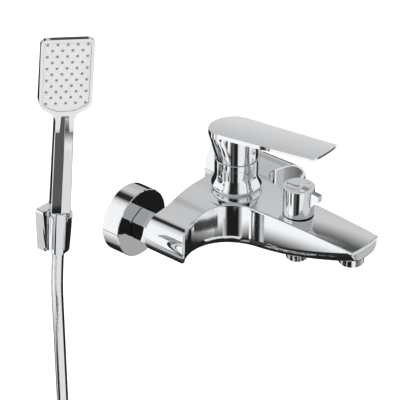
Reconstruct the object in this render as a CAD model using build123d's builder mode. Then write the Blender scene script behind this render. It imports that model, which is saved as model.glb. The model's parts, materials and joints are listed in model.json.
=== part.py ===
import os
from math import acos, atan2, cos, pi, radians, sin, sqrt, tan

from build123d import *

# Wall mounted bath mixer with hand shower, bracket and hose, in millimetres.
# The wall is the plane y = 0, the object stands out to -Y, and +Z is up.
# The origin lies on the wall, midway between the two inlets.

# Inlets and wall fittings
inlet_spacing = 150.0
inlet_x = inlet_spacing / 2
half_inch_thread_r = 10.48
three_quarter_thread_r = 13.2
thread_clearance = 0.15
wall_thread_length = 15.0
union_offset = 6.0
union_bore_r = 7.5
union_collar_r = 14.5
union_collar_length = 12.0
union_front = 33.0
escutcheon_r = 34.0
escutcheon_depth = 19.5
escutcheon_wall = 1.4
escutcheon_clearance = 0.3
escutcheon_chamfer = 0.6
nut_flats = 30.0
nut_gap = 0.6
nut_lip = 2.0
nut_chamfer = 1.2
washer_thickness = 2.0

# Body
body_back = 40.0
boss_r = 19.5
wing_front = 77.0
wing_turn_x = inlet_x - 14
horn_front = 95.7
horn_x = inlet_x + 25
spout_root_half = 24.0
spout_tip_half = 20.7
spout_tip = 226.0
spout_bow = 1.8
deck_height = 28.0
deck_half = 26.0
deck_bend = 112.0
shoulder_angle = 3.0
body_floor = -19.4
tip_top = 22.6
belly_start = 84.0
belly_mid = 170.0
belly_mid_z = -8.0
belly_tip_z = 11.5
belly_round = 13.0
deck_round = 1.6
tail_r = 10.2
tail_flange_r = 12.6
tail_flange = 2.0
tail_length = 5.0
waterway_r = 5.5
port_r = 3.2
port_spread = 7.5
inlet_channel_y = -68.0
mixed_port_y = -83.0
mixed_z = 6.0
spout_channel_z = 14.0
spout_channel_r = 4.5

# Tower and trim ring
tower_y = -74.2
tower_r = 21.2
tower_top = 54.4
bulb_r = 24.6
bulb_z = 32.0
bulb_sink = 2.0
bulb_foot_r = 21.5
waist_z = 45.0
ring_height = 6.1
ring_wall = 0.65
ring_chamfer = 0.3

# Cartridge
cartridge_r = 17.5
cartridge_floor = 17.0
cartridge_shoulder = 49.5
cartridge_neck_r = 15.0
cartridge_neck_top = 56.0
cartridge_clearance = 0.25
cartridge_wall = 2.2
seal_thickness = 2.0
disc_thickness = 4.0
disc_clearance = 0.1
cavity_top = 47.0
moving_disc_r = 9.5
driver_r = 8.5
driver_top = 46.7
driver_socket_r = 3.4
carrier_r = 12.5
carrier_bottom = 47.2
carrier_top = 63.5
running_fit = 0.05
cartridge_nut_top = 53.3
cartridge_nut_r = 18.6
spanner_slots = 6
spanner_slot = 2.0

# Lever
lever_base_gap = 0.3
lever_base_r = 20.15
lever_top_r = 21.8
lever_mid_r = 20.9
lever_mid_z = 68.0
lever_mid_shift = 1.6
lever_rear_shift = 7.0
lever_flare_top = 84.0
lever_rest_top = 91.3
lever_tip = 176.5
lever_tip_top = 101.7
lever_tip_half = 18.5
lever_tip_bow = 1.5
lever_tip_thick = 2.4
lever_root_thick = 4.2
lever_arch_foot = 82.0
lever_arch_top_y = 99.0
arch_spring = 71.0
relief_angle = 19.5
relief_r = 19.25
lever_wall = 2.2
lever_ceiling = 79.0
stem_boss_r = 8.0
stem_boss_bottom = 68.0
pivot_z = 61.5
stem_square = 7.0
stem_fit = 0.1
stem_r = 4.6
stem_shoulder = 66.0
stem_neck_top = 50.0
stem_neck_r = 2.2
stem_ball_r = 3.0
stem_ball_z = 45.5
stem_slot = 9.6
stem_slot_reach = 10.2
pin_r = 1.5
pin_length = 24.0
set_screw_r = 2.5
set_screw_z = 72.0
set_screw_length = 8.0
index_r = 3.2
index_depth = 2.0
index_proud = 0.4

# Diverter
diverter_y = -148.6
bonnet_r = 9.0
bonnet_flange_r = 12.0
bonnet_flange = 3.5
flange_seat = 24.0
bonnet_neck_r = 7.0
bonnet_neck_top = 38.0
bonnet_bottom = 0.0
spindle_r = 3.0
spindle_top = 50.0
knob_r = 15.0
knob_bottom = 28.3
knob_top = 56.0
knob_wall = 2.0
knob_cavity_top = 42.0
knob_dish_r = 45.0
knob_dish_depth = 1.8
knob_gap = 0.2
pointer_reach = 24.4
pointer_half = 3.0
pointer_drop = 17.5
pointer_fall = 1.7
pointer_edge = 6.5
knob_screw_r = 2.0
knob_screw_z = 46.0
knob_screw_length = 8.0

# Outlets
outlet_end = -21.5
outlet_thread_top = -15.0
outlet_shank_r = 10.1
outlet_seat = -2.0
outlet_bore_r = 7.2
thread_chamfer = 0.8
valve_clearance = 0.2
valve_hole_r = 1.2
valve_length = 9.0
aerator_y = -211.0
aerator_r = 12.0
aerator_thread_r = 10.9
aerator_end = -0.8
aerator_flange_top = 8.6
aerator_seat = 14.0
aerator_wall = 1.4
aerator_chamfer = 0.6
aerator_recess = 2.0
screen_pitch = 3.4
screen_count = 4
screen_hole_r = 1.1
washer_wall = 2.0

# Bracket and hand shower
bracket_x = -183.6
socket_y = -17.0
socket_z = 42.2
socket_tilt = 6.0
socket_r = 11.7
socket_height = 38.0
socket_taper = 1.4
socket_slot = 12.6
socket_turn = 45.0
plate_width = 24.0
plate_height = 42.0
plate_depth = 4.0
plate_corner = 2.0
holder_depth = 5.0
holder_width = 16.0
screw_r = 2.25
screw_spacing = 24.0
screw_head = 1.5
screw_head_r = 4.0
head_recess = 3.0
cone_fit = 0.4
cone_length = 46.0
cone_top_r = 9.2
cone_bottom_r = 7.2
shower_turn = 38.0
handle_length = 102.0
handle_half = 9.0
handle_thick = 16.0
neck_half = 8.2
neck_thick = 13.0
ridge_depth = 2.4
handle_edge = 1.0
handle_bore_r = 4.0
shoulder_height = 10.0
head_half = 23.0
head_height = 66.0
head_thick = 11.0
head_top_thick = 4.5
head_corner = 5.5
head_lower_round = 9.0
neck_round = 10.0
face_margin = 2.8
tongue_half = 7.0
tongue_round = 2.5
face_depth = 2.8
face_thickness = 1.2
mat_thickness = 1.0
face_clearance = 0.15
nozzle_columns = 5
nozzle_rows = 11
nozzle_spacing = 8.6
nozzle_row_spacing = 5.78
nozzle_drop = 1.0
nozzle_r = 1.1
nozzle_height = 1.7
nipple_r = 6.58
nipple_length = 9.0
nipple_bore_r = 4.2

# Hose
hose_r = 5.5
hose_lead = 35.0
hose_bore_r = 3.5
coil_r = 59.0
coil_turns = 3
coil_pitch = 12.6
coil_z = -265.0
end_tail = 90.0
end_nut_flats = 24.0
end_nut_length = 14.0
end_thread_length = 9.0
end_washer_r = 9.8
tie_wall = 1.6
tie_width = 9.0
tie_clearance = 0.5

os.makedirs("parts", exist_ok=True)


def save(builder, name):
    builder.part.label = name
    export_step(builder.part, "parts/" + name + ".step")


def at_wall(x, distance, z=0.0):
    return Plane((x, -distance, z), x_dir=(1, 0, 0), z_dir=(0, -1, 0))


tower_axis = Axis((0, tower_y, 0), (0, 0, 1))


def tower_plane(z):
    return Plane((0, tower_y, z))


def diverter_plane(z):
    return Plane((0, diverter_y, z))


def aerator_plane(z):
    return Plane((0, aerator_y, z))


# Mixer body: plan outline, side outline and front outline, each cut through the others
with BuildPart() as mixer_body:
    with BuildSketch(Plane.XY.offset(-2 * boss_r)):
        with BuildLine():
            Line((0, -body_back), (-horn_x, -body_back))
            Line((-horn_x, -body_back), (-horn_x, -horn_front))
            TangentArc((-wing_turn_x, -wing_front), (-horn_x, -horn_front), tangent=(-1, 0))
            turn = wing_turn_x - spout_root_half
            TangentArc((-wing_turn_x, -wing_front), (-spout_root_half, -wing_front - turn), tangent=(1, 0))
            Line((-spout_root_half, -wing_front - turn), (-spout_tip_half, -spout_tip))
            ThreePointArc((-spout_tip_half, -spout_tip), (0, -spout_tip - spout_bow),
                          (spout_tip_half, -spout_tip))
            mirror(about=Plane.YZ)
        make_face()
    extrude(amount=4 * boss_r)
    with BuildSketch(Plane.YZ.offset(-2 * horn_x)):
        with BuildLine():
            Polyline((-deck_bend, deck_height), (-body_back + 1, deck_height), (-body_back + 1, body_floor),
                     (-belly_start, body_floor))
            nose = -spout_tip - 2 * spout_bow
            TangentArc((-deck_bend, deck_height), (nose, tip_top), tangent=(-1, 0))
            rise = TangentArc((-belly_start, body_floor), (-belly_mid, belly_mid_z), tangent=(-1, 0))
            TangentArc((-belly_mid, belly_mid_z), (nose, belly_tip_z), tangent=rise % 1)
            Line((nose, belly_tip_z), (nose, tip_top))
        make_face()
    extrude(amount=4 * horn_x, mode=Mode.INTERSECT)
    with BuildSketch(at_wall(0, body_back - 1)):
        with BuildLine():
            ridge = deck_height + deck_half * tan(radians(shoulder_angle))
            slope = (-cos(radians(shoulder_angle)), -sin(radians(shoulder_angle)))
            Line((0, ridge), (-deck_half, deck_height))
            mid = ((-deck_half - inlet_x) / 2, (deck_height + boss_r) / 2)
            shoulder = TangentArc((-deck_half, deck_height), mid, tangent=slope)
            TangentArc(mid, (-inlet_x, boss_r), tangent=shoulder % 1)
            ThreePointArc((-inlet_x, boss_r), (-inlet_x - boss_r, 0), (-inlet_x, -boss_r))
            Line((-inlet_x, -boss_r), (0, -boss_r))
            mirror(about=Plane.YZ)
        make_face()
    extrude(amount=spout_tip, mode=Mode.INTERSECT)
    under_edges = []
    for edge in mixer_body.edges().filter_by(GeomType.LINE, reverse=True):
        middle = edge.center()
        if spout_tip_half / 2 < abs(middle.X) < inlet_x and middle.Y < tower_y and middle.Z < belly_tip_z / 2:
            under_edges.append(edge)
    fillet(under_edges, belly_round)
    deck_edges = []
    for edge in mixer_body.edges():
        middle = edge.center()
        if middle.Z > tip_top / 2 and middle.Y < -body_back - 1 and abs(middle.X) < horn_x:
            deck_edges.append(edge)
    fillet(deck_edges, deck_round)
    with BuildSketch(at_wall(0, -tower_y)):
        with BuildLine():
            Polyline((tower_r, waist_z), (tower_r, tower_top), (0, tower_top), (0, deck_height - bulb_sink),
                     (bulb_foot_r, deck_height - bulb_sink))
            Spline((bulb_foot_r, deck_height - bulb_sink), (bulb_r, bulb_z), (tower_r, waist_z),
                   tangents=((1, 1), (0, 1)))
        make_face()
    revolve(axis=tower_axis)
    with BuildSketch(at_wall(0, body_back)):
        with Locations((-inlet_x, 0), (inlet_x, 0)):
            Circle(tail_r)
    extrude(amount=-tail_length)
    with BuildSketch(at_wall(0, body_back - tail_length)):
        with Locations((-inlet_x, 0), (inlet_x, 0)):
            Circle(tail_flange_r)
    extrude(amount=tail_flange)
    with BuildSketch(at_wall(0, body_back - tail_length)):
        with Locations((-inlet_x, 0), (inlet_x, 0)):
            Circle(union_bore_r)
    extrude(amount=-inlet_channel_y - body_back + tail_length, mode=Mode.SUBTRACT)
    with BuildSketch(Plane.YZ.offset(-inlet_x)):
        with Locations((inlet_channel_y, 0)):
            Circle(waterway_r)
    extrude(amount=inlet_x - port_spread, mode=Mode.SUBTRACT)
    with BuildSketch(Plane.YZ.offset(port_spread)):
        with Locations((inlet_channel_y, 0)):
            Circle(waterway_r)
    extrude(amount=inlet_x - port_spread, mode=Mode.SUBTRACT)
    with BuildSketch(Plane.XY):
        with Locations((-port_spread, inlet_channel_y), (port_spread, inlet_channel_y)):
            Circle(port_r)
    extrude(amount=cartridge_floor, mode=Mode.SUBTRACT)
    with BuildSketch(Plane.XY.offset(mixed_z)):
        with Locations((0, mixed_port_y)):
            Circle(port_r)
    extrude(amount=cartridge_floor - mixed_z, mode=Mode.SUBTRACT)
    with BuildSketch(at_wall(0, -mixed_port_y, mixed_z)):
        Circle(waterway_r)
    extrude(amount=mixed_port_y - diverter_y, mode=Mode.SUBTRACT)
    with BuildSketch(tower_plane(cartridge_floor)):
        Circle(cartridge_r + cartridge_clearance)
    extrude(amount=tower_top, mode=Mode.SUBTRACT)
    with BuildSketch(tower_plane(cartridge_shoulder)):
        Circle(cartridge_nut_r + thread_clearance)
    extrude(amount=tower_top, mode=Mode.SUBTRACT)
    with BuildSketch(diverter_plane(bonnet_bottom)):
        Circle(bonnet_r + thread_clearance)
    extrude(amount=deck_height, mode=Mode.SUBTRACT)
    with BuildSketch(diverter_plane(flange_seat)):
        Circle(bonnet_flange_r + thread_clearance)
    extrude(amount=deck_height, mode=Mode.SUBTRACT)
    with BuildSketch(diverter_plane(outlet_seat)):
        Circle(outlet_shank_r + thread_clearance)
    extrude(amount=-deck_height, mode=Mode.SUBTRACT)
    with BuildSketch(diverter_plane(outlet_seat)):
        Circle(waterway_r)
    extrude(amount=bonnet_bottom - outlet_seat, mode=Mode.SUBTRACT)
    with BuildSketch(at_wall(0, -diverter_y, spout_channel_z)):
        Circle(spout_channel_r)
    extrude(amount=diverter_y - aerator_y, mode=Mode.SUBTRACT)
    with BuildSketch(aerator_plane(aerator_seat)):
        Circle(aerator_thread_r + thread_clearance)
    extrude(amount=-deck_height, mode=Mode.SUBTRACT)
    with BuildSketch(aerator_plane(aerator_flange_top)):
        Circle(aerator_r + thread_clearance)
    extrude(amount=-deck_height, mode=Mode.SUBTRACT)
save(mixer_body, "mixer_body")

# Wall fittings, one set at each inlet
for side, inlet in (("left", -inlet_x), ("right", inlet_x)):
    with BuildPart() as union:
        with BuildSketch(at_wall(inlet, -wall_thread_length, -union_offset)):
            Circle(half_inch_thread_r)
        extrude(amount=wall_thread_length)
        with BuildSketch(at_wall(inlet, 0)):
            Circle(union_collar_r)
        extrude(amount=union_collar_length)
        with BuildSketch(at_wall(inlet, union_collar_length)):
            Circle(three_quarter_thread_r)
        extrude(amount=union_front - union_collar_length)
        with BuildSketch(at_wall(inlet, union_collar_length / 2)):
            Circle(union_bore_r)
        extrude(amount=union_front, mode=Mode.SUBTRACT)
        with BuildSketch(at_wall(inlet, -wall_thread_length, -union_offset)):
            Circle(union_bore_r)
        extrude(amount=wall_thread_length + union_collar_length / 2, mode=Mode.SUBTRACT)
    save(union, side + "_union")

    with BuildPart() as escutcheon:
        with BuildSketch(at_wall(inlet, 0)):
            Circle(escutcheon_r)
        extrude(amount=escutcheon_depth)
        front_rim = escutcheon.faces().sort_by(Axis.Y)[0].edges()
        chamfer(front_rim, escutcheon_chamfer)
        with BuildSketch(at_wall(inlet, 0)):
            Circle(escutcheon_r - escutcheon_wall)
        extrude(amount=escutcheon_depth - escutcheon_wall, mode=Mode.SUBTRACT)
        with BuildSketch(at_wall(inlet, 0)):
            Circle(three_quarter_thread_r + escutcheon_clearance)
        extrude(amount=escutcheon_depth, mode=Mode.SUBTRACT)
    save(escutcheon, side + "_escutcheon")

    nut_start = escutcheon_depth + nut_gap
    nut_end = body_back - nut_gap
    nut_corner_r = nut_flats / 2 / cos(pi / 6)
    with BuildPart() as nut:
        with BuildSketch(at_wall(inlet, nut_start)):
            RegularPolygon(nut_corner_r, 6, rotation=30)
        extrude(amount=nut_end - nut_start)
        with BuildSketch(Plane((inlet, 0, 0), x_dir=(1, 0, 0), z_dir=(0, 0, 1))):
            with BuildLine():
                Polyline((0, -nut_start), (nut_corner_r - nut_chamfer, -nut_start),
                         (nut_corner_r, -nut_start - nut_chamfer), (nut_corner_r, -nut_end + nut_chamfer),
                         (nut_corner_r - nut_chamfer, -nut_end), (0, -nut_end), close=True)
            make_face()
        revolve(axis=Axis((inlet, 0, 0), (0, 1, 0)), mode=Mode.INTERSECT)
        with BuildSketch(at_wall(inlet, nut_start)):
            Circle(three_quarter_thread_r + thread_clearance)
        extrude(amount=nut_end - nut_start - nut_lip, mode=Mode.SUBTRACT)
        with BuildSketch(at_wall(inlet, nut_start)):
            Circle(tail_r + thread_clearance)
        extrude(amount=nut_end - nut_start, mode=Mode.SUBTRACT)
    save(nut, side + "_union_nut")

with BuildPart() as inlet_washers:
    with BuildSketch(at_wall(0, union_front)):
        with Locations((-inlet_x, 0), (inlet_x, 0)):
            Circle(tail_flange_r)
            Circle(union_bore_r, mode=Mode.SUBTRACT)
    extrude(amount=washer_thickness)
save(inlet_washers, "inlet_washers")


# Cartridge, held in the tower by a ring nut
def ports(radius):
    with Locations((-port_spread, inlet_channel_y - tower_y), (port_spread, inlet_channel_y - tower_y),
                   (0, mixed_port_y - tower_y)):
        Circle(radius, mode=Mode.SUBTRACT)


housing_floor = cartridge_floor + seal_thickness
disc_floor = housing_floor + cartridge_wall
cavity_r = cartridge_r - cartridge_wall
with BuildPart() as cartridge_seal:
    with BuildSketch(tower_plane(cartridge_floor)):
        Circle(cavity_r)
        ports(port_r)
    extrude(amount=seal_thickness)
save(cartridge_seal, "cartridge_seal")

with BuildPart() as cartridge_housing:
    with BuildSketch(tower_plane(housing_floor)):
        Circle(cartridge_r)
    extrude(amount=cartridge_shoulder - housing_floor)
    with BuildSketch(tower_plane(cartridge_shoulder)):
        Circle(cartridge_neck_r)
    extrude(amount=cartridge_neck_top - cartridge_shoulder)
    with BuildSketch(tower_plane(disc_floor)):
        Circle(cavity_r)
    extrude(amount=cavity_top - disc_floor, mode=Mode.SUBTRACT)
    with BuildSketch(tower_plane(cavity_top)):
        Circle(carrier_r + running_fit)
    extrude(amount=cartridge_neck_top - cavity_top, mode=Mode.SUBTRACT)
    with BuildSketch(tower_plane(housing_floor)):
        with Locations((-port_spread, inlet_channel_y - tower_y), (port_spread, inlet_channel_y - tower_y),
                       (0, mixed_port_y - tower_y)):
            Circle(port_r)
    extrude(amount=cartridge_wall, mode=Mode.SUBTRACT)
save(cartridge_housing, "cartridge_housing")

with BuildPart() as fixed_disc:
    with BuildSketch(tower_plane(disc_floor)):
        Circle(cavity_r - disc_clearance)
        ports(port_r)
    extrude(amount=disc_thickness)
save(fixed_disc, "fixed_disc")

moving_floor = disc_floor + disc_thickness + disc_clearance
with BuildPart() as moving_disc:
    with BuildSketch(tower_plane(moving_floor)):
        Circle(moving_disc_r)
    extrude(amount=disc_thickness)
    with BuildSketch(tower_plane(moving_floor)):
        SlotOverall(moving_disc_r, port_r * 2)
    extrude(amount=disc_thickness / 2, mode=Mode.SUBTRACT)
save(moving_disc, "moving_disc")

driver_floor = moving_floor + disc_thickness
with BuildPart() as disc_driver:
    with BuildSketch(tower_plane(driver_floor)):
        Circle(driver_r)
    extrude(amount=driver_top - driver_floor)
    with BuildSketch(tower_plane(stem_ball_z - 2 * stem_ball_r)):
        Circle(driver_socket_r)
    extrude(amount=driver_top, mode=Mode.SUBTRACT)
save(disc_driver, "disc_driver")

with BuildPart() as cartridge_nut:
    with BuildSketch(tower_plane(cartridge_shoulder)):
        Circle(cartridge_nut_r)
        Circle(cartridge_neck_r + thread_clearance, mode=Mode.SUBTRACT)
    extrude(amount=cartridge_nut_top - cartridge_shoulder)
    with BuildSketch(tower_plane(cartridge_nut_top)):
        with PolarLocations(cartridge_nut_r, spanner_slots):
            Rectangle(cartridge_nut_r - cartridge_neck_r, spanner_slot)
    extrude(amount=-spanner_slot, mode=Mode.SUBTRACT)
save(cartridge_nut, "cartridge_nut")

with BuildPart() as trim_ring:
    with BuildSketch(tower_plane(tower_top)):
        Circle(tower_r)
        Circle(tower_r - ring_wall, mode=Mode.SUBTRACT)
    extrude(amount=ring_height)
    rims = trim_ring.edges().filter_by(GeomType.CIRCLE).sort_by(SortBy.RADIUS)[-2:]
    chamfer(rims, ring_chamfer)
save(trim_ring, "trim_ring")

with BuildPart() as cartridge_carrier:
    with BuildSketch(tower_plane(carrier_bottom)):
        Circle(carrier_r)
    extrude(amount=carrier_top - carrier_bottom)
    with BuildSketch(tower_plane(carrier_bottom)):
        Rectangle(stem_slot, 2 * stem_slot_reach)
    extrude(amount=carrier_top - carrier_bottom, mode=Mode.SUBTRACT)
    with BuildSketch(Plane.YZ.offset(-carrier_r)):
        with Locations((tower_y, pivot_z)):
            Circle(pin_r + running_fit)
    extrude(amount=2 * carrier_r, mode=Mode.SUBTRACT)
save(cartridge_carrier, "cartridge_carrier")

with BuildPart() as stem_pin:
    with BuildSketch(Plane.YZ.offset(-pin_length / 2)):
        with Locations((tower_y, pivot_z)):
            Circle(pin_r)
    extrude(amount=pin_length)
save(stem_pin, "stem_pin")

# Lever: flared skirt cut by an arch in front, round cup inside it, and a thin top plate
lever_base = tower_top + ring_height + lever_base_gap
lever_slope = (lever_tip_top - lever_rest_top) / (lever_tip + tower_y)


def lever_top_at(distance):
    return lever_rest_top + (distance + tower_y) * lever_slope


def lever_section(shift, height):
    return Plane((0, tower_y + shift, height))


lever_rear = lever_top_r + lever_rear_shift
with BuildPart() as lever_handle:
    with BuildSketch(lever_section(0, lever_base)):
        Circle(lever_base_r)
    with BuildSketch(lever_section(lever_mid_shift, lever_mid_z)):
        Circle(lever_mid_r)
    with BuildSketch(lever_section(lever_rear_shift, lever_flare_top)):
        Circle(lever_top_r)
    loft()
    with BuildSketch(lever_section(lever_rear_shift, lever_flare_top)):
        Circle(lever_top_r)
    extrude(amount=lever_tip_top - lever_flare_top)
    with BuildSketch(Plane.YZ.offset(-lever_tip)):
        arch_top = lever_top_at(lever_arch_top_y) - lever_root_thick
        with BuildLine():
            Polyline((-lever_arch_foot, arch_spring), (-lever_arch_foot, lever_base - 1),
                     (-lever_tip, lever_base - 1), (-lever_tip, arch_top), (-lever_arch_top_y, arch_top))
            TangentArc((-lever_arch_foot, arch_spring), (-lever_arch_top_y, arch_top), tangent=(0, 1))
        make_face()
    extrude(amount=2 * lever_tip, mode=Mode.SUBTRACT)
    with BuildSketch(tower_plane(lever_base)):
        Circle(lever_base_r)
    extrude(amount=lever_tip_top - lever_base)
    with BuildSketch(Plane.XY.offset(lever_base)):
        with BuildLine():
            centre_y = tower_y + lever_rear_shift
            corner = Vector(-lever_tip_half, -lever_tip) - Vector(0, centre_y)
            bearing = atan2(corner.Y, corner.X) - acos(lever_top_r / corner.length)
            touch = Vector(lever_top_r * cos(bearing), centre_y + lever_top_r * sin(bearing))
            Line(touch, (-lever_tip_half, -lever_tip))
            Line((lever_tip_half, -lever_tip), (-touch.X, touch.Y))
            ThreePointArc(touch, (0, tower_y + lever_rear), (-touch.X, touch.Y))
            ThreePointArc((-lever_tip_half, -lever_tip), (0, -lever_tip - lever_tip_bow),
                          (lever_tip_half, -lever_tip))
        make_face()
    plan = extrude(amount=lever_tip_top, mode=Mode.PRIVATE)
    with BuildSketch(Plane.YZ.offset(-lever_tip)):
        rear = -tower_y - lever_rear - 1
        nose = lever_tip + 2 * lever_tip_bow
        with BuildLine():
            Polyline((-rear, lever_top_at(rear)), (-nose, lever_top_at(nose)),
                     (-nose, lever_top_at(nose) - lever_tip_thick),
                     (-lever_arch_top_y, lever_top_at(lever_arch_top_y) - lever_root_thick),
                     (-rear, lever_top_at(rear) - lever_root_thick), close=True)
        make_face()
    blade = extrude(amount=2 * lever_tip, mode=Mode.PRIVATE)
    add(plan & blade)
    with BuildSketch(Plane.YZ.offset(-lever_tip)):
        with BuildLine():
            Polyline((-rear, lever_top_at(rear)), (-nose, lever_top_at(nose)), (-nose, 2 * lever_tip_top),
                     (-rear, 2 * lever_tip_top), close=True)
        make_face()
    extrude(amount=2 * lever_tip, mode=Mode.SUBTRACT)
    with BuildSketch(tower_plane(lever_base)):
        Circle(lever_base_r - lever_wall)
    extrude(amount=lever_ceiling - lever_base, mode=Mode.SUBTRACT)
    with BuildSketch(tower_plane(stem_boss_bottom)):
        Circle(stem_boss_r)
        Rectangle(stem_square + 2 * stem_fit, stem_square + 2 * stem_fit, mode=Mode.SUBTRACT)
    extrude(amount=lever_ceiling - stem_boss_bottom)
    with BuildSketch(Plane.YZ.offset(-lever_tip)):
        heel = lever_rear * tan(radians(relief_angle))
        with BuildLine():
            Polyline((tower_y, lever_base), (tower_y + lever_rear, lever_base),
                     (tower_y + lever_rear, lever_base + heel), close=True)
        make_face()
    wedge = extrude(amount=2 * lever_tip, mode=Mode.PRIVATE)
    with BuildSketch(tower_plane(lever_base)):
        Circle(2 * lever_rear)
        Circle(relief_r, mode=Mode.SUBTRACT)
    sleeve = extrude(amount=lever_rear, mode=Mode.PRIVATE)
    add(wedge & sleeve, mode=Mode.SUBTRACT)
    with BuildSketch(at_wall(0, -tower_y, set_screw_z)):
        Circle(set_screw_r + thread_clearance)
    extrude(amount=lever_base_r - index_depth, mode=Mode.SUBTRACT)
    with BuildSketch(at_wall(0, -tower_y + lever_base_r - index_depth, set_screw_z)):
        Circle(index_r)
    extrude(amount=2 * index_depth, mode=Mode.SUBTRACT)
save(lever_handle, "lever_handle")

with BuildPart() as lever_stem:
    with BuildSketch(tower_plane(stem_shoulder)):
        Rectangle(stem_square, stem_square)
    extrude(amount=lever_ceiling - stem_shoulder)
    with BuildSketch(tower_plane(stem_neck_top)):
        Circle(stem_r)
    extrude(amount=stem_shoulder - stem_neck_top)
    with BuildSketch(tower_plane(stem_ball_z)):
        Circle(stem_neck_r)
    extrude(amount=stem_neck_top - stem_ball_z)
    with Locations((0, tower_y, stem_ball_z)):
        Sphere(stem_ball_r)
    with BuildSketch(Plane.YZ.offset(-stem_r)):
        with Locations((tower_y, pivot_z)):
            Circle(pin_r + running_fit)
    extrude(amount=2 * stem_r, mode=Mode.SUBTRACT)
save(lever_stem, "lever_stem")

with BuildPart() as set_screw:
    with BuildSketch(at_wall(0, -tower_y + stem_square / 2, set_screw_z)):
        Circle(set_screw_r)
    extrude(amount=set_screw_length)
    with BuildSketch(at_wall(0, -tower_y + stem_square / 2 + set_screw_length, set_screw_z)):
        RegularPolygon(set_screw_r / 2, 6)
    extrude(amount=-set_screw_length / 3, mode=Mode.SUBTRACT)
save(set_screw, "set_screw")

with BuildPart() as index_button:
    with BuildSketch(at_wall(0, -tower_y + lever_base_r - index_depth, set_screw_z)):
        Circle(index_r - running_fit)
    extrude(amount=index_depth + index_proud)
    chamfer(index_button.faces().sort_by(Axis.Y)[0].edges(), index_proud / 2)
save(index_button, "index_button")

# Diverter: bonnet in the spout, spindle through it, knob on the spindle
with BuildPart() as diverter_bonnet:
    with BuildSketch(diverter_plane(bonnet_bottom)):
        Circle(bonnet_r)
    extrude(amount=flange_seat - bonnet_bottom)
    with BuildSketch(diverter_plane(flange_seat)):
        Circle(bonnet_flange_r)
    extrude(amount=bonnet_flange)
    with BuildSketch(diverter_plane(flange_seat)):
        Circle(bonnet_neck_r)
    extrude(amount=bonnet_neck_top - flange_seat)
    with BuildSketch(diverter_plane(bonnet_bottom)):
        Circle(spindle_r + running_fit)
    extrude(amount=bonnet_neck_top - bonnet_bottom, mode=Mode.SUBTRACT)
save(diverter_bonnet, "diverter_bonnet")

with BuildPart() as diverter_spindle:
    with BuildSketch(diverter_plane(bonnet_bottom)):
        Circle(spindle_r)
    extrude(amount=spindle_top - bonnet_bottom)
    with BuildSketch(diverter_plane(bonnet_neck_top)):
        with Locations((0, spindle_r)):
            Rectangle(2 * spindle_r, spindle_r)
    extrude(amount=spindle_top - bonnet_neck_top, mode=Mode.SUBTRACT)
save(diverter_spindle, "diverter_spindle")

with BuildPart() as diverter_knob:
    with BuildSketch(diverter_plane(knob_bottom)):
        Circle(knob_r)
    extrude(amount=knob_top - knob_bottom)
    with Locations((0, diverter_y, knob_top + knob_dish_r - knob_dish_depth)):
        Sphere(knob_dish_r, mode=Mode.SUBTRACT)
    with BuildSketch(Plane.YZ.offset(-pointer_half)):
        with BuildLine():
            root = diverter_y - knob_r / 4
            Polyline((root, knob_top), (diverter_y - pointer_reach, knob_top - pointer_fall),
                     (diverter_y - pointer_reach, knob_top - pointer_fall - pointer_edge),
                     (diverter_y - knob_r + 1, knob_top - pointer_drop), (root, knob_top - pointer_drop),
                     close=True)
        make_face()
    extrude(amount=2 * pointer_half)
    with BuildSketch(diverter_plane(knob_bottom)):
        Circle(knob_r - knob_wall)
    extrude(amount=knob_cavity_top - knob_bottom, mode=Mode.SUBTRACT)
    with BuildSketch(diverter_plane(knob_cavity_top)):
        Circle(spindle_r + running_fit)
        with Locations((0, spindle_r)):
            Rectangle(2 * spindle_r, spindle_r - 2 * running_fit, mode=Mode.SUBTRACT)
    extrude(amount=spindle_top - knob_cavity_top + knob_gap, mode=Mode.SUBTRACT)
    with BuildSketch(at_wall(0, -diverter_y, knob_screw_z)):
        Circle(knob_screw_r + thread_clearance)
    extrude(amount=-knob_r, mode=Mode.SUBTRACT)
save(diverter_knob, "diverter_knob")

with BuildPart() as knob_screw:
    with BuildSketch(at_wall(0, -diverter_y - spindle_r / 2 - knob_gap, knob_screw_z)):
        Circle(knob_screw_r)
    extrude(amount=-knob_screw_length)
save(knob_screw, "knob_screw")

# Hose outlet with its check valve
with BuildPart() as hose_outlet:
    with BuildSketch(diverter_plane(outlet_end)):
        Circle(half_inch_thread_r)
    extrude(amount=outlet_thread_top - outlet_end)
    with BuildSketch(diverter_plane(outlet_thread_top)):
        Circle(outlet_shank_r)
    extrude(amount=outlet_seat - outlet_thread_top)
    with BuildSketch(diverter_plane(outlet_end)):
        Circle(outlet_bore_r)
    extrude(amount=outlet_seat - outlet_end, mode=Mode.SUBTRACT)
    chamfer(hose_outlet.faces().sort_by(Axis.Z)[0].edges().sort_by(SortBy.RADIUS)[-1], thread_chamfer)
save(hose_outlet, "hose_outlet")

with BuildPart() as check_valve:
    with BuildSketch(diverter_plane(outlet_seat - valve_length)):
        Circle(outlet_bore_r - valve_clearance)
    extrude(amount=valve_length)
    with BuildSketch(diverter_plane(outlet_seat - valve_length)):
        with PolarLocations(outlet_bore_r / 2, 4):
            Circle(valve_hole_r)
    extrude(amount=valve_length, mode=Mode.SUBTRACT)
save(check_valve, "check_valve")

# Aerator under the spout tip
with BuildPart() as aerator_housing:
    with BuildSketch(aerator_plane(aerator_end)):
        Circle(aerator_r)
    extrude(amount=aerator_flange_top - aerator_end)
    with BuildSketch(aerator_plane(aerator_flange_top)):
        Circle(aerator_thread_r)
    extrude(amount=aerator_seat - washer_thickness - aerator_flange_top)
    with BuildSketch(aerator_plane(aerator_end)):
        Circle(aerator_thread_r - aerator_wall)
    extrude(amount=aerator_seat, mode=Mode.SUBTRACT)
    chamfer(aerator_housing.faces().sort_by(Axis.Z)[0].edges().sort_by(SortBy.RADIUS)[-1], aerator_chamfer)
save(aerator_housing, "aerator_housing")

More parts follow.
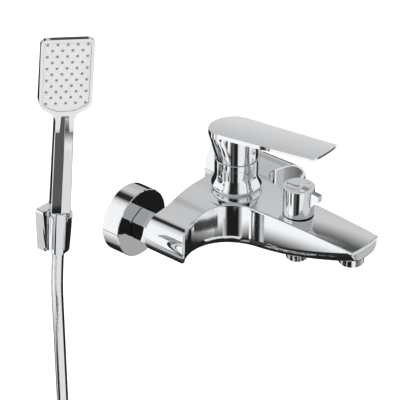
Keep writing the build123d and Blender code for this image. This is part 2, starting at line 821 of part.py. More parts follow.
with BuildPart() as aerator_insert:
    insert_r = aerator_thread_r - aerator_wall - thread_clearance
    with BuildSketch(aerator_plane(aerator_end + aerator_recess)):
        Circle(insert_r)
        with GridLocations(screen_pitch, screen_pitch, screen_count, screen_count):
            RegularPolygon(screen_hole_r, 6, mode=Mode.SUBTRACT)
    extrude(amount=aerator_seat - washer_thickness - aerator_end - aerator_recess)
save(aerator_insert, "aerator_insert")

with BuildPart() as aerator_washer:
    with BuildSketch(aerator_plane(aerator_seat - washer_thickness)):
        Circle(aerator_thread_r)
        Circle(aerator_thread_r - aerator_wall - washer_wall, mode=Mode.SUBTRACT)
    extrude(amount=washer_thickness)
save(aerator_washer, "aerator_washer")

# Wall bracket: plate screwed to the wall, and over it a slotted cone socket that leans forward
lean = radians(socket_tilt)
socket_axis = Vector(0, -sin(lean), cos(lean))
socket_centre = Vector(bracket_x, socket_y, socket_z)


def across_socket(height):
    return Plane(socket_centre + socket_axis * height, x_dir=(1, 0, 0), z_dir=socket_axis)


with BuildPart() as bracket_plate:
    with BuildSketch(at_wall(bracket_x, 0, socket_z)):
        RectangleRounded(plate_width, plate_height, plate_corner)
    extrude(amount=plate_depth)
    with BuildSketch(at_wall(bracket_x, 0, socket_z)):
        with GridLocations(0, screw_spacing, 1, 2):
            Circle(screw_r)
    extrude(amount=plate_depth, mode=Mode.SUBTRACT)
    with BuildSketch(at_wall(bracket_x, plate_depth - screw_head, socket_z)):
        with GridLocations(0, screw_spacing, 1, 2):
            Circle(screw_head_r)
    extrude(amount=screw_head, mode=Mode.SUBTRACT)
save(bracket_plate, "bracket_plate")


def cone_r_at(height):
    share = (height + cone_length / 2) / cone_length
    return cone_bottom_r + (cone_top_r - cone_bottom_r) * share


half_socket = socket_height / 2
with BuildPart() as bracket_socket:
    with BuildSketch(at_wall(bracket_x, plate_depth, socket_z)):
        RectangleRounded(plate_width, plate_height, plate_corner)
    extrude(amount=holder_depth)
    with BuildSketch(at_wall(bracket_x, plate_depth + holder_depth, socket_z)):
        RectangleRounded(holder_width, socket_height - 2 * plate_corner, plate_corner)
    extrude(amount=-socket_y - plate_depth - holder_depth)
    with BuildSketch(across_socket(-half_socket)):
        Circle(socket_r - socket_taper)
    with BuildSketch(across_socket(half_socket)):
        Circle(socket_r)
    loft()
    with BuildSketch(across_socket(-2 * half_socket)):
        Circle(cone_r_at(-2 * half_socket) + cone_fit)
    with BuildSketch(across_socket(2 * half_socket)):
        Circle(cone_r_at(2 * half_socket) + cone_fit)
    loft(mode=Mode.SUBTRACT)
    with BuildSketch(across_socket(-2 * half_socket)):
        mouth = radians(socket_turn)
        with Locations((-socket_r * sin(mouth), -socket_r * cos(mouth))):
            Rectangle(socket_slot, 2 * socket_r, rotation=-socket_turn)
    extrude(amount=4 * half_socket, mode=Mode.SUBTRACT)
    with BuildSketch(at_wall(bracket_x, plate_depth, socket_z)):
        with GridLocations(0, screw_spacing, 1, 2):
            Circle(screw_head_r)
    extrude(amount=head_recess, mode=Mode.SUBTRACT)
save(bracket_socket, "bracket_socket")

# Hand shower, standing in the socket on its cone nut and turned to one side
nut_top = cone_length / 2
shower_foot = socket_centre + socket_axis * nut_top
turn_angle = radians(shower_turn)
level = Vector(cos(turn_angle), -sin(turn_angle), 0)
shower_right = (level - socket_axis * level.dot(socket_axis)).normalized()
shower_back = socket_axis.cross(shower_right)


def shower_front(distance):
    return Plane(shower_foot - shower_back * distance, x_dir=shower_right, z_dir=-shower_back)


def across_handle(height):
    return Plane(shower_foot + socket_axis * height, x_dir=shower_right, z_dir=socket_axis)


def ridged(half, thick):
    Polygon((-half, thick / 2), (half, thick / 2), (half, ridge_depth - thick / 2), (0, -thick / 2),
            (-half, ridge_depth - thick / 2), align=None)


head_bottom = handle_length + shoulder_height
head_top = head_bottom + head_height
head_middle = (head_bottom + head_top) / 2
face_front = head_thick / 2


def face_outline(inset):
    half = head_half - face_margin - inset
    foot = head_bottom - shoulder_height / 2 + inset
    corner = head_bottom + face_margin / 2
    with BuildSketch(mode=Mode.PRIVATE) as outline:
        Polygon((-half, head_top - face_margin - inset), (-half, corner),
                (inset - tongue_half, foot), (tongue_half - inset, foot), (half, corner),
                (half, head_top - face_margin - inset), align=None)
        fillet(outline.vertices().group_by(Axis.Y)[-1], head_corner - face_margin)
        corners = outline.vertices().filter_by_position(Axis.Y, head_bottom, head_middle)
        fillet(corners, head_lower_round - face_margin)
        fillet(outline.vertices().group_by(Axis.Y)[0], tongue_round)
    return outline.sketch


with BuildPart() as shower_shell:
    with BuildSketch(across_handle(0)):
        ridged(handle_half, handle_thick)
    with BuildSketch(across_handle(handle_length)):
        ridged(neck_half, neck_thick)
    loft()
    fillet(shower_shell.edges().filter_by(lambda edge: edge.length > handle_length / 2), handle_edge)
    with BuildSketch(shower_front(-face_front)) as head:
        collar = handle_length - 2 * neck_half
        Polygon((-head_half, head_top), (-head_half, head_bottom), (-neck_half, handle_length),
                (-neck_half, collar), (neck_half, collar), (neck_half, handle_length),
                (head_half, head_bottom), (head_half, head_top), align=None)
        fillet(head.vertices().group_by(Axis.Y)[-1], head_corner)
        fillet(head.vertices().filter_by_position(Axis.Y, head_bottom - 1, head_bottom + 1), head_lower_round)
        fillet(head.vertices().filter_by_position(Axis.Y, handle_length - 1, handle_length + 1), neck_round)
    extrude(amount=head_thick)
    left_of_head = shower_foot - shower_right * 2 * head_half
    with BuildSketch(Plane(left_of_head, x_dir=shower_back, z_dir=shower_right)):
        Polygon((face_front, head_bottom), (head_top_thick - face_front, head_top), (face_front, head_top),
                align=None)
    extrude(amount=4 * head_half, mode=Mode.SUBTRACT)
    with BuildSketch(shower_front(face_front)):
        add(face_outline(0))
    extrude(amount=-face_depth, mode=Mode.SUBTRACT)
    with BuildSketch(across_handle(0)):
        Circle(nipple_r + thread_clearance)
    extrude(amount=nipple_length, mode=Mode.SUBTRACT)
    with BuildSketch(across_handle(0)):
        Circle(handle_bore_r)
    extrude(amount=handle_length, mode=Mode.SUBTRACT)
save(shower_shell, "shower_shell")

nozzle_places = []
for row in range(nozzle_rows):
    columns = nozzle_columns - row % 2
    height = head_middle - nozzle_drop + (row - (nozzle_rows - 1) / 2) * nozzle_row_spacing
    for column in range(columns):
        nozzle_places.append(((column - (columns - 1) / 2) * nozzle_spacing, height))
mat_back = face_front - face_depth
with BuildPart() as shower_face:
    with BuildSketch(shower_front(mat_back + mat_thickness)):
        add(face_outline(face_clearance))
        with Locations(*nozzle_places):
            RegularPolygon(nozzle_r + face_clearance, 8, mode=Mode.SUBTRACT)
    extrude(amount=face_thickness)
save(shower_face, "shower_face")

with BuildPart() as nozzle_mat:
    with BuildSketch(shower_front(mat_back)):
        add(face_outline(face_clearance))
    extrude(amount=mat_thickness)
    with BuildSketch(shower_front(mat_back + mat_thickness)):
        with Locations(*nozzle_places):
            RegularPolygon(nozzle_r, 8)
    extrude(amount=nozzle_height)
save(nozzle_mat, "nozzle_mat")

with BuildPart() as shower_nipple:
    with BuildSketch(across_handle(-nipple_length)):
        Circle(nipple_r)
        Circle(nipple_bore_r, mode=Mode.SUBTRACT)
    extrude(amount=2 * nipple_length)
save(shower_nipple, "shower_nipple")

washer_floor = -nipple_length - washer_thickness
with BuildPart() as cone_nut:
    with BuildSketch(across_handle(-cone_length)):
        Circle(cone_bottom_r)
    with BuildSketch(across_handle(0)):
        Circle(cone_top_r)
    loft()
    with BuildSketch(across_handle(washer_floor)):
        Circle(nipple_r + thread_clearance)
    extrude(amount=-washer_floor, mode=Mode.SUBTRACT)
    with BuildSketch(across_handle(-cone_length)):
        Circle(hose_bore_r)
    extrude(amount=cone_length, mode=Mode.SUBTRACT)
save(cone_nut, "cone_nut")

with BuildPart() as hose_washer:
    with BuildSketch(across_handle(washer_floor)):
        Circle(nipple_r)
        Circle(nipple_bore_r, mode=Mode.SUBTRACT)
    extrude(amount=washer_thickness)
save(hose_washer, "hose_washer")

# Hose: straight hang below the cone nut, then a tied coil and a short tail with its end nut
hose_start = shower_foot - socket_axis * cone_length
hose_bend = hose_start - socket_axis * hose_lead
coil_start = Vector(hose_bend.X, hose_bend.Y, coil_z)
bend_r = 0.45 * hose_lead / tan(lean / 2)
print("hose bend radius", round(bend_r, 1))
with BuildPart() as hose:
    with BuildLine() as hang:
        FilletPolyline(hose_start, hose_bend, coil_start, radius=bend_r)
    with BuildSketch(Plane(hose_start, x_dir=(1, 0, 0), z_dir=-socket_axis)):
        Circle(hose_r)
    sweep(path=hang.wires()[0])
save(hose, "hose")


def coil_point(angle):
    return Vector(coil_start.X + coil_r * (1 - cos(angle)), coil_start.Y - coil_pitch * angle / (2 * pi),
                  coil_z - coil_r * sin(angle))


def coil_heading(angle):
    return Vector(coil_r * sin(angle), -coil_pitch / (2 * pi), -coil_r * cos(angle)).normalized()


down = Vector(0, 0, -1)
quarters = 4 * coil_turns
coil_end = coil_point(quarters * pi / 2)
with BuildPart() as hose_coil:
    with BuildLine() as loops:
        lead_end = coil_start + down * 2 * hose_r
        Line(coil_start, lead_end)
        here = lead_end
        heading = down
        for quarter in range(1, quarters + 1):
            there = coil_point(quarter * pi / 2) + down * 2 * hose_r
            ahead = coil_heading(quarter * pi / 2)
            if quarter == quarters:
                ahead = down
            span = there - here
            along = span.dot(heading + ahead)
            spread = 2 * (1 - heading.dot(ahead))
            reach = (sqrt(along * along + spread * span.dot(span)) - along) / spread
            joint = (here + there + (heading - ahead) * reach) / 2
            first = TangentArc(here, joint, tangent=heading)
            TangentArc(joint, there, tangent=first % 1)
            here = there
            heading = ahead
        Line(here, coil_end + down * end_tail)
    with BuildSketch(Plane(coil_start, x_dir=(1, 0, 0), z_dir=(0, 0, -1))):
        Circle(hose_r)
    sweep(path=loops.wires()[0])
save(hose_coil, "hose_coil")
hang_length = hang.wires()[0].length
loop_length = loops.wires()[0].length
section = pi * hose_r * hose_r
print("hose length", round(hang_length + loop_length))
print("hose volume to section", round(hose.part.volume / section / hang_length, 4))
print("coil volume to section", round(hose_coil.part.volume / section / loop_length, 4))

with BuildPart() as coil_tie:
    tie_y = coil_start.Y - coil_pitch * coil_turns / 2
    inner_width = 2 * (hose_r + tie_clearance)
    inner_length = coil_pitch * (coil_turns - 1) + inner_width
    with BuildSketch(Plane((coil_start.X + 2 * coil_r, tie_y, coil_z - 2 * hose_r - tie_width / 2))):
        SlotOverall(inner_length + 2 * tie_wall, inner_width + 2 * tie_wall, rotation=90)
        SlotOverall(inner_length, inner_width, rotation=90, mode=Mode.SUBTRACT)
    extrude(amount=tie_width)
save(coil_tie, "coil_tie")

tail_end = coil_end + down * end_tail
with BuildPart() as hose_end_nut:
    with BuildSketch(Plane(tail_end, x_dir=(1, 0, 0), z_dir=(0, 0, -1))):
        RegularPolygon(end_nut_flats / 2 / cos(pi / 6), 6)
    extrude(amount=end_nut_length)
    with BuildSketch(Plane(tail_end + down * end_nut_length, x_dir=(1, 0, 0), z_dir=(0, 0, 1))):
        Circle(half_inch_thread_r + thread_clearance)
    extrude(amount=end_thread_length, mode=Mode.SUBTRACT)
    with BuildSketch(Plane(tail_end + down * end_nut_length, x_dir=(1, 0, 0), z_dir=(0, 0, 1))):
        Circle(end_washer_r + thread_clearance)
    extrude(amount=end_thread_length + washer_thickness, mode=Mode.SUBTRACT)
    with BuildSketch(Plane(tail_end, x_dir=(1, 0, 0), z_dir=(0, 0, -1))):
        Circle(hose_bore_r)
    extrude(amount=end_nut_length, mode=Mode.SUBTRACT)
save(hose_end_nut, "hose_end_nut")

with BuildPart() as end_washer:
    washer_top = tail_end + down * (end_nut_length - end_thread_length - washer_thickness)
    with BuildSketch(Plane(washer_top, x_dir=(1, 0, 0), z_dir=(0, 0, -1))):
        Circle(end_washer_r)
        Circle(union_bore_r, mode=Mode.SUBTRACT)
    extrude(amount=washer_thickness)
save(end_washer, "end_washer")
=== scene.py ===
import json
import math

import bmesh
import bpy
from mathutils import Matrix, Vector


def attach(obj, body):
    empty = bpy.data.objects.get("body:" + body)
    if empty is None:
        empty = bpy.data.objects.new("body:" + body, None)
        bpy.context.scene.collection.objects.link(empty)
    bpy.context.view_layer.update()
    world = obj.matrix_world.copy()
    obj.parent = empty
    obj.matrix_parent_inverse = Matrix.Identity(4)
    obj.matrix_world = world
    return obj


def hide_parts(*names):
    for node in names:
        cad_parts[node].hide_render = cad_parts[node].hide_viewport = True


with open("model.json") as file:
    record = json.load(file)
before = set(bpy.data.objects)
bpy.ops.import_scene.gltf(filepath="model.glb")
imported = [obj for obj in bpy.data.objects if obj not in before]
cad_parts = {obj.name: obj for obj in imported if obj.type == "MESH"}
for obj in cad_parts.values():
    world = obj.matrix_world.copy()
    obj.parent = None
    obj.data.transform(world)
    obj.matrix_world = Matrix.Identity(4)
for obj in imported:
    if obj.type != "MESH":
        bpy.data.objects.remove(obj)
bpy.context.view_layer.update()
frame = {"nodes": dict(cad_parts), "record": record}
nodes = frame["nodes"]
print("frame loaded:", len(nodes), "nodes")

mmPerMetre = 1000
plainWhite = (1, 1, 1, 1)
plainBlack = (0, 0, 0, 1)


# sRGB hex text to the linear colour that shaders read
def hexColour(text):
    channels = []
    for start in (0, 2, 4):
        value = int(text[start:start + 2], 16) / 255
        channels.append(value / 12.92 if value <= 0.04045 else ((value + 0.055) / 1.055) ** 2.4)
    return (*channels, 1.0)


# settings go to the node's own properties or else to its inputs; links name an input, with _ for a space
def addNode(tree, kind, settings=None, **links):
    node = tree.nodes.new(kind)
    for key, value in (settings or {}).items():
        if hasattr(node, key):
            setattr(node, key, value)
        else:
            node.inputs[key].default_value = value
    for name, source in links.items():
        socket = node.inputs[name.replace("_", " ")]
        tree.links.new(source, socket)
    return node


def newMaterial(name):
    material = bpy.data.materials.new(name)
    material.use_nodes = True
    tree = material.node_tree
    shader = tree.nodes["Principled BSDF"]
    return material, tree, shader


# camera at the photograph's viewing angle, long lens
cameraSetup = {"lens": 162.0, "sensor": 36.0, "turn": 49.89, "rise": 30.88, "distance": 1.71382,
               "target": (-0.03226, -0.05587, 0.01981), "farthest": 50}


def placeCamera(setup):
    turn = math.radians(setup["turn"])
    rise = math.radians(setup["rise"])
    back = Vector((-math.sin(turn) * math.cos(rise), -math.cos(turn) * math.cos(rise), math.sin(rise)))
    data = bpy.data.cameras.new("camera")
    data.lens = setup["lens"]
    data.sensor_width = setup["sensor"]
    data.sensor_fit = "HORIZONTAL"
    data.clip_end = setup["farthest"]
    camera = bpy.data.objects.new("camera", data)
    bpy.context.scene.collection.objects.link(camera)
    camera.location = Vector(setup["target"]) + back * setup["distance"]
    camera.rotation_euler = (-back).to_track_quat("-Z", "Y").to_euler()
    bpy.context.scene.camera = camera


placeCamera(cameraSetup)
print("camera placed")

# chrome plate over polished brass casting: mirror bright, faint waviness from polishing
chromeLook = {"tint": "DDDFE1", "roughness": 0.035, "waveMm": 60.0, "waveDetail": 1.0, "waveBump": 0.02,
              "waveDepth": 0.002}


def makeChrome(name, look):
    material, tree, shader = newMaterial(name)
    coords = addNode(tree, "ShaderNodeTexCoord")
    wave = addNode(tree, "ShaderNodeTexNoise",
                   {"Scale": mmPerMetre / look["waveMm"], "Detail": look["waveDetail"]},
                   Vector=coords.outputs["Object"])
    bump = addNode(tree, "ShaderNodeBump", {"Strength": look["waveBump"], "Distance": look["waveDepth"]},
                   Height=wave.outputs["Fac"])
    shader.inputs["Base Color"].default_value = hexColour(look["tint"])
    shader.inputs["Metallic"].default_value = 1.0
    shader.inputs["Roughness"].default_value = look["roughness"]
    tree.links.new(bump.outputs["Normal"], shader.inputs["Normal"])
    return material


# moulded and machined finishes: colour varies a little, roughness and a faint bump follow the grain
grainLook = {"detail": 3.0, "smoothest": 0.85, "roughest": 1.15, "bump": 0.08, "depth": 0.0004}
plainLooks = {
    "machinedBrass": {"tint": "C9A75A", "dark": "B08F45", "metallic": 1.0,
                      "roughness": 0.28, "grainMm": 0.8},
    "stainlessSteel": {"tint": "B9BABC", "dark": "A3A4A6", "metallic": 1.0,
                       "roughness": 0.3, "grainMm": 0.6},
    "nitrileRubber": {"tint": "1C1C1D", "dark": "141415", "metallic": 0.0,
                      "roughness": 0.75, "grainMm": 0.5},
    "acetalWhite": {"tint": "E4E3DD", "dark": "DAD9D2", "metallic": 0.0,
                    "roughness": 0.45, "grainMm": 1.5},
    "aluminaCeramic": {"tint": "EFEBE2", "dark": "E6E1D6", "metallic": 0.0,
                       "roughness": 0.15, "grainMm": 1.0},
    "satinAbsWhite": {"tint": "DADADC", "dark": "D2D2D4", "metallic": 0.0,
                      "roughness": 0.3, "grainMm": 0.7},
    "siliconeNozzle": {"tint": "8A8A8A", "dark": "7C7C7C", "metallic": 0.0,
                       "roughness": 0.5, "grainMm": 0.5},
    "silverSleeve": {"tint": "E8E9EB", "dark": "E0E1E3", "metallic": 1.0,
                     "roughness": 0.1, "grainMm": 4.0},
    "nylonTie": {"tint": "2A2B2D", "dark": "212224", "metallic": 0.0,
                 "roughness": 0.5, "grainMm": 0.9},
}


def makePlain(name, look):
    material, tree, shader = newMaterial(name)
    coords = addNode(tree, "ShaderNodeTexCoord")
    grain = addNode(tree, "ShaderNodeTexNoise",
                    {"Scale": mmPerMetre / look["grainMm"], "Detail": grainLook["detail"]},
                    Vector=coords.outputs["Object"])
    tone = addNode(tree, "ShaderNodeMix", {"data_type": "RGBA"})
    tone.inputs["A"].default_value = hexColour(look["dark"])
    tone.inputs["B"].default_value = hexColour(look["tint"])
    tree.links.new(grain.outputs["Fac"], tone.inputs["Factor"])
    spread = addNode(tree, "ShaderNodeMapRange",
                     {"To Min": look["roughness"] * grainLook["smoothest"],
                      "To Max": look["roughness"] * grainLook["roughest"]}, Value=grain.outputs["Fac"])
    bump = addNode(tree, "ShaderNodeBump", {"Strength": grainLook["bump"], "Distance": grainLook["depth"]},
                   Height=grain.outputs["Fac"])
    tree.links.new(tone.outputs["Result"], shader.inputs["Base Color"])
    tree.links.new(spread.outputs["Result"], shader.inputs["Roughness"])
    tree.links.new(bump.outputs["Normal"], shader.inputs["Normal"])
    shader.inputs["Metallic"].default_value = look["metallic"]
    return material


# index button: glossy white plastic with one small red spot below its middle
indexLook = {"tint": "F0F0F0", "spot": "7A1420", "place": (0.0, 0.0710), "radius": 0.0011, "edge": 0.0003,
             "roughness": 0.12}


def makeIndex(name, look):
    material, tree, shader = newMaterial(name)
    coords = addNode(tree, "ShaderNodeTexCoord")
    parts = addNode(tree, "ShaderNodeSeparateXYZ", Vector=coords.outputs["Object"])
    across = addNode(tree, "ShaderNodeMath", {"operation": "SUBTRACT"})
    tree.links.new(parts.outputs["X"], across.inputs[0])
    across.inputs[1].default_value = look["place"][0]
    upward = addNode(tree, "ShaderNodeMath", {"operation": "SUBTRACT"})
    tree.links.new(parts.outputs["Z"], upward.inputs[0])
    upward.inputs[1].default_value = look["place"][1]
    offset = addNode(tree, "ShaderNodeCombineXYZ", X=across.outputs[0], Z=upward.outputs[0])
    distance = addNode(tree, "ShaderNodeVectorMath", {"operation": "LENGTH"})
    tree.links.new(offset.outputs["Vector"], distance.inputs[0])
    rim = addNode(tree, "ShaderNodeMapRange",
                  {"From Min": look["radius"], "From Max": look["radius"] + look["edge"]},
                  Value=distance.outputs["Value"])
    tone = addNode(tree, "ShaderNodeMix", {"data_type": "RGBA"})
    tone.inputs["A"].default_value = hexColour(look["spot"])
    tone.inputs["B"].default_value = hexColour(look["tint"])
    tree.links.new(rim.outputs["Result"], tone.inputs["Factor"])
    tree.links.new(tone.outputs["Result"], shader.inputs["Base Color"])
    shader.inputs["Roughness"].default_value = look["roughness"]
    return material


finishes = {"polishedChrome": makeChrome("polishedChrome", chromeLook),
            "indexPlastic": makeIndex("indexPlastic", indexLook)}
for finishName, look in plainLooks.items():
    finishes[finishName] = makePlain(finishName, look)

# finish of each material slot that the record names
slotFinish = {"chrome": "polishedChrome", "brass": "machinedBrass", "steel": "stainlessSteel",
              "rubber": "nitrileRubber", "cartridge_plastic": "acetalWhite",
              "disc_ceramic": "aluminaCeramic", "face_grey": "satinAbsWhite",
              "nozzle_rubber": "siliconeNozzle", "tie_plastic": "nylonTie",
              "index_plastic": "indexPlastic", "hose_silver": "silverSleeve"}
for row in frame["record"]["subparts"]:
    piece = nodes[row["node"]]
    piece.data.materials.clear()
    piece.data.materials.append(finishes[slotFinish[row["material_slot"]]])
print("finishes assigned:", len(finishes))

# shower hose: smooth silver sleeve, hangs straight and ends in a tied coil
hoseSetup = {"diameter": 0.011, "length": 1.487, "start": (-0.1836, -0.014596, 0.019326),
             "bend": (-0.1836, -0.010937, -0.015482), "belowBend": 0.03, "aboveCoil": 0.04,
             "coilTop": -0.265, "lead": 0.011, "coilRadius": 0.059, "turns": 3, "pitch": 0.0126,
             "pointsPerTurn": 16, "tail": 0.09, "order": 3, "stepsAlong": 6, "stepsAround": 5}


def hoseRoute(setup):
    start = Vector(setup["start"])
    bend = Vector(setup["bend"])
    top = Vector((bend.x, bend.y, setup["coilTop"]))
    down = Vector((0, 0, -1))
    route = [start, bend, bend + down * setup["belowBend"], top - down * setup["aboveCoil"]]
    entry = top + down * setup["lead"]
    # control points stand a little outside the loop, so that the curve itself runs on it
    step = 2 * math.pi / setup["pointsPerTurn"]
    swell = setup["coilRadius"] / math.cos(step / 2) ** 2
    for count in range(setup["turns"] * setup["pointsPerTurn"]):
        angle = (count + 0.5) * step
        away = Vector((-math.cos(angle) * swell, 0, -math.sin(angle) * swell))
        middle = entry + Vector((setup["coilRadius"], -setup["pitch"] * angle / (2 * math.pi), 0))
        route.append(middle + away)
    end = Vector((entry.x, entry.y - setup["pitch"] * setup["turns"], top.z))
    route.append(end + down * setup["tail"] / 2)
    route.append(end + down * setup["tail"])
    return route


def makeHose(setup):
    curve = bpy.data.curves.new("showerHose", "CURVE")
    curve.dimensions = "3D"
    curve.bevel_depth = setup["diameter"] / 2
    curve.bevel_resolution = setup["stepsAround"]
    curve.resolution_u = setup["stepsAlong"]
    curve.use_fill_caps = True
    spline = curve.splines.new("NURBS")
    route = hoseRoute(setup)
    spline.points.add(len(route) - 1)
    for point, place in zip(spline.points, route):
        point.co = (*place, 1)
    spline.order_u = setup["order"]
    spline.use_endpoint_u = True
    hose = bpy.data.objects.new("showerHose", curve)
    bpy.context.scene.collection.objects.link(hose)
    return hose


showerHose = makeHose(hoseSetup)
showerHose.data.materials.append(finishes["silverSleeve"])
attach(showerHose, "hand_shower")
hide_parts("hose", "hose_coil")
print("hose laid")

# white floor well below the coil: the camera and diffuse light meet it, the chrome does not
floorSetup = {"size": 8.0, "height": -0.385, "tint": "F8F8F8", "roughness": 0.9, "glow": 0.35}
lampSetup = [
    {"name": "topSoftbox", "place": (-0.3, -0.9, 1.6), "size": 1.4, "power": 16},
    {"name": "leftSoftbox", "place": (-1.6, -0.5, 0.6), "size": 1.0, "power": 7},
    {"name": "rightSoftbox", "place": (1.3, -1.3, 0.8), "size": 1.0, "power": 7},
    {"name": "backSoftbox", "place": (0.4, 1.4, 0.9), "size": 1.0, "power": 6},
]
objectMiddle = Vector((-0.05, -0.08, 0.03))
# white backdrop: full strength for the camera, less as light on the object
worldSetup = {"light": 0.6, "seen": 1.0}

# studio cards that the chrome mirrors: bearing from the camera and rise in degrees, brightness from the
# lower edge to the upper one, or from the first bearing to the last where it runs across; a slant lifts a
# card along its bearing, and a higher layer stands in front of a lower one
cardReach = 1.2
layerGap = 0.01
cardGrid = (24, 12)
cardSetup = [
    {"name": "blackLeft", "turn": (-180, -122), "rise": (-62, 4), "level": (0.02, 0.02)},
    {"name": "whiteLeft", "turn": (-122, -40), "rise": (-38, 40), "level": (1.25, 1.2)},
    {"name": "fadeLeft", "turn": (-122, -78), "rise": (-36, -31.5), "level": (0.16, 1.2), "layer": 1},
    {"name": "dimLeft", "turn": (-122, -78), "rise": (-62, -36), "level": (0.02, 0.16), "layer": 1},
    {"name": "fadeSpout", "turn": (-78, -63), "rise": (-33.65, -32.45), "level": (0.03, 1.25),
     "slant": -0.22,
     "layer": 1},
    {"name": "dimSpout", "turn": (-78, -63), "rise": (-62, -33.65), "level": (0.03, 0.03),
     "slant": -0.22,
     "layer": 1},
    {"name": "fadeMiddle", "turn": (-63, -40), "rise": (-34.3, -33.0), "level": (0.02, 1.2),
     "layer": 1},
    {"name": "dimMiddle", "turn": (-63, -40), "rise": (-62, -34.3), "level": (0.02, 0.02), "layer": 1},
    {"name": "softFront", "turn": (-40, -29), "rise": (-62, 24), "level": (0.95, 0.02), "across": True},
    {"name": "blackFront", "turn": (-29, 3), "rise": (-62, 24), "level": (0.012, 0.03)},
    {"name": "greyFlank", "turn": (-25, -14), "rise": (-31.8, -20), "level": (0.13, 0.13), "layer": 1},
    {"name": "softRight", "turn": (3, 15), "rise": (-62, 24), "level": (0.02, 0.95), "across": True},
    {"name": "whiteRim", "turn": (8, 16), "rise": (-32.2, -22), "level": (1.05, 1.05), "layer": 1},
    {"name": "whiteRight", "turn": (15, 122), "rise": (-38, 24), "level": (1.1, 1.1)},
    {"name": "fadeRight", "turn": (15, 40), "rise": (-33.5, -32.5), "level": (0.03, 0.9), "layer": 1},
    {"name": "dimRight", "turn": (15, 40), "rise": (-62, -33.5), "level": (0.02, 0.03), "layer": 1},
    {"name": "whiteFlank", "turn": (40.5, 49), "rise": (-46, -34.8), "level": (1.1, 1.1), "layer": 2},
    {"name": "fadeFlank", "turn": (40.5, 49), "rise": (-34.8, -33.8), "level": (1.1, 0.03), "layer": 2},
    {"name": "fadeWing", "turn": (40, 122), "rise": (-33.9, -33.0), "level": (0.02, 0.5), "layer": 1},
    {"name": "dimWing", "turn": (40, 122), "rise": (-62, -33.9), "level": (0.02, 0.02), "layer": 1},
    {"name": "greyDisc", "turn": (93, 122), "rise": (-38, -34.8), "level": (0.5, 0.5), "layer": 2},
    {"name": "darkStrip", "turn": (30, 112), "rise": (-32.75, -31.9), "level": (0.05, 0.07),
     "slant": -0.005,
     "layer": 2},
    {"name": "greyWing", "turn": (40, 88), "rise": (-31.5, -28.3), "level": (0.12, 0.45),
     "across": True,
     "layer": 2},
    {"name": "greyTip", "turn": (88, 114), "rise": (-31.5, -27), "level": (0.6, 0.66), "layer": 2},
    {"name": "blackRight", "turn": (122, 180), "rise": (-62, 4), "level": (0.02, 0.02)},
    {"name": "darkBelow", "turn": (-180, 180), "rise": (-90, -62), "level": (0.02, 0.02)},
    {"name": "greyFar", "turn": (122, 238), "rise": (4, 18), "level": (0.6, 0.65)},
    {"name": "lightFar", "turn": (122, 238), "rise": (18, 34.3), "level": (0.45, 0.8)},
    {"name": "leverTop", "turn": (171, 187), "rise": (25.4, 28.4), "level": (0.98, 0.6),
     "slant": -0.372,
     "layer": 1},
    {"name": "leverEnd", "turn": (90, 116), "rise": (-26, -22), "level": (0.15, 0.15), "layer": 2},
    {"name": "paleFar", "turn": (164, 174), "rise": (-2, 4), "level": (0.6, 0.6), "layer": 1},
    {"name": "fadeFarRight", "turn": (90, 172), "rise": (34.3, 37.8), "level": (0.75, 0.1)},
    {"name": "liftFarRight", "turn": (90, 172), "rise": (37.8, 43), "level": (0.1, 0.75)},
    {"name": "lightFarRight", "turn": (90, 172), "rise": (43, 64), "level": (0.75, 0.75)},
    {"name": "spoutLight", "turn": (154, 172), "rise": (35.2, 38.2), "level": (0.72, 0.8),
     "slant": -0.3,
     "layer": 1},
    {"name": "spoutFade", "turn": (154, 172), "rise": (38.2, 39.49), "level": (0.8, 0.06),
     "slant": -0.3,
     "layer": 1},
    {"name": "lightFarLeft", "turn": (172, 200), "rise": (34.3, 64), "level": (0.78, 0.72),
     "across": True},
    {"name": "fadeHighLeft", "turn": (200, 216), "rise": (34.3, 64), "level": (0.72, 0.03),
     "across": True},
    {"name": "darkHighLeft", "turn": (216, 236), "rise": (34.3, 64), "level": (0.03, 0.03)},
    {"name": "liftHighLeft", "turn": (236, 252), "rise": (34.3, 64), "level": (0.03, 0.9),
     "across": True},
    {"name": "darkEdge", "turn": (184.5, 189.2), "rise": (43.3, 44.9), "level": (0.08, 0.08),
     "layer": 1},
    {"name": "capLeft", "turn": (-108, -40), "rise": (40, 64), "level": (1.2, 0.55)},
    {"name": "hoseLight", "turn": (-41, 78), "rise": (-56, -35.2), "level": (0.95, 0.95), "layer": 3},
    {"name": "darkSlot", "turn": (-64, -51), "rise": (-31.9, -25), "level": (0.03, 0.05), "layer": 3},
    {"name": "palePlate", "turn": (-92, -79), "rise": (-30, -25), "level": (0.75, 0.85), "layer": 2},
    {"name": "blackStand", "turn": (-112, -101), "rise": (-42, -22), "level": (0.05, 0.05), "layer": 3},
    {"name": "discSide", "turn": (-118, -84), "rise": (-51, -31.5), "level": (0.36, 1.15), "layer": 2},
]


def makeFloor(setup):
    mesh = bpy.data.meshes.new("floor")
    shape = bmesh.new()
    bmesh.ops.create_grid(shape, x_segments=1, y_segments=1, size=setup["size"] / 2)
    bmesh.ops.translate(shape, verts=shape.verts, vec=(0, 0, setup["height"]))
    shape.to_mesh(mesh)
    shape.free()
    floor = bpy.data.objects.new("floor", mesh)
    bpy.context.scene.collection.objects.link(floor)
    material, tree, shader = newMaterial("floorPaint")
    shader.inputs["Base Color"].default_value = hexColour(setup["tint"])
    shader.inputs["Roughness"].default_value = setup["roughness"]
    shader.inputs["Emission Color"].default_value = plainWhite
    path = addNode(tree, "ShaderNodeLightPath")
    glow = addNode(tree, "ShaderNodeMath", {"operation": "MULTIPLY"})
    tree.links.new(path.outputs["Is Camera Ray"], glow.inputs[0])
    glow.inputs[1].default_value = setup["glow"]
    tree.links.new(glow.outputs[0], shader.inputs["Emission Strength"])
    mesh.materials.append(material)
    floor.visible_glossy = False


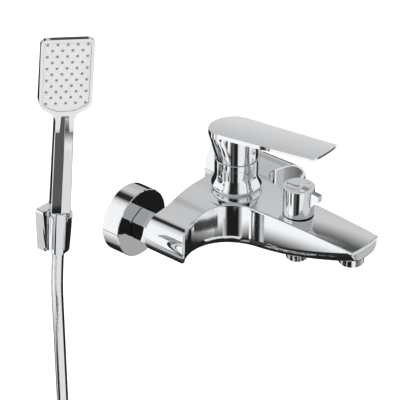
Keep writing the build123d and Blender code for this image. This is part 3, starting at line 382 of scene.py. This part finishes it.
# point on the sphere of cards around the object
def cardPlace(turn, rise, bearing, reach):
    facing = bearing - math.radians(turn)
    flat = math.cos(math.radians(rise))
    return objectMiddle + reach * Vector((math.sin(facing) * flat, math.cos(facing) * flat,
                                          math.sin(math.radians(rise))))


def makeCard(setup, bearing):
    reach = cardReach - layerGap * setup.get("layer", 0)
    slant = setup.get("slant", 0)
    first, last = setup["turn"]
    low, high = setup["rise"]
    mesh = bpy.data.meshes.new(setup["name"])
    shape = bmesh.new()
    bmesh.ops.create_grid(shape, x_segments=cardGrid[0], y_segments=cardGrid[1], size=1)
    for vert in shape.verts:
        along = (last - first) * (vert.co.x + 1) / 2
        rise = low + (high - low) * (vert.co.y + 1) / 2 + slant * along
        vert.co = cardPlace(first + along, rise, bearing, reach)
    shape.to_mesh(mesh)
    shape.free()
    card = bpy.data.objects.new(setup["name"], mesh)
    bpy.context.scene.collection.objects.link(card)
    material, tree, shader = newMaterial(setup["name"])
    shader.inputs["Base Color"].default_value = plainBlack
    shader.inputs["Specular IOR Level"].default_value = 0.0
    shader.inputs["Emission Color"].default_value = plainWhite
    # the brightness runs straight from start to end
    middle = (low + high) / 2
    if setup.get("across"):
        start = cardPlace(first, middle, bearing, reach)
        end = cardPlace(last, middle, bearing, reach)
    elif slant:
        centre = (first + last) / 2
        lift = slant * (centre - first)
        start = cardPlace(centre, low + lift, bearing, reach)
        end = cardPlace(centre, high + lift, bearing, reach)
        edge = cardPlace(last, low + 2 * lift, bearing, reach) - cardPlace(first, low, bearing, reach)
        edge.normalize()
        end -= edge * edge.dot(end - start)
    else:
        start = Vector((0, 0, cardPlace(first, low, bearing, reach).z))
        end = Vector((0, 0, cardPlace(first, high, bearing, reach).z))
    direction = (end - start).normalized()
    coords = addNode(tree, "ShaderNodeTexCoord")
    reading = addNode(tree, "ShaderNodeVectorMath", {"operation": "DOT_PRODUCT"})
    tree.links.new(coords.outputs["Object"], reading.inputs[0])
    reading.inputs[1].default_value = direction
    level = addNode(tree, "ShaderNodeMapRange",
                    {"From Min": start.dot(direction), "From Max": end.dot(direction),
                     "To Min": setup["level"][0], "To Max": setup["level"][1]},
                    Value=reading.outputs["Value"])
    tree.links.new(level.outputs["Result"], shader.inputs["Emission Strength"])
    mesh.materials.append(material)
    card.visible_camera = False
    card.visible_diffuse = False
    card.visible_shadow = False


def makeLamp(setup):
    data = bpy.data.lights.new(setup["name"], "AREA")
    data.energy = setup["power"]
    data.shape = "SQUARE"
    data.size = setup["size"]
    lamp = bpy.data.objects.new(setup["name"], data)
    bpy.context.scene.collection.objects.link(lamp)
    lamp.location = setup["place"]
    lamp.rotation_euler = (objectMiddle - Vector(setup["place"])).to_track_quat("-Z", "Y").to_euler()
    lamp.visible_glossy = False


def makeWorld(setup):
    world = bpy.data.worlds.new("studio")
    bpy.context.scene.world = world
    world.use_nodes = True
    tree = world.node_tree
    background = tree.nodes["Background"]
    path = addNode(tree, "ShaderNodeLightPath")
    strength = addNode(tree, "ShaderNodeMapRange", {"To Min": setup["light"], "To Max": setup["seen"]},
                       Value=path.outputs["Is Camera Ray"])
    background.inputs["Color"].default_value = plainWhite
    tree.links.new(strength.outputs["Result"], background.inputs["Strength"])


makeFloor(floorSetup)
for setup in lampSetup:
    makeLamp(setup)
cameraBearing = math.radians(180 + cameraSetup["turn"])
for setup in cardSetup:
    makeCard(setup, cameraBearing)
makeWorld(worldSetup)
bpy.context.scene.view_settings.view_transform = "Standard"
print("stage lit")
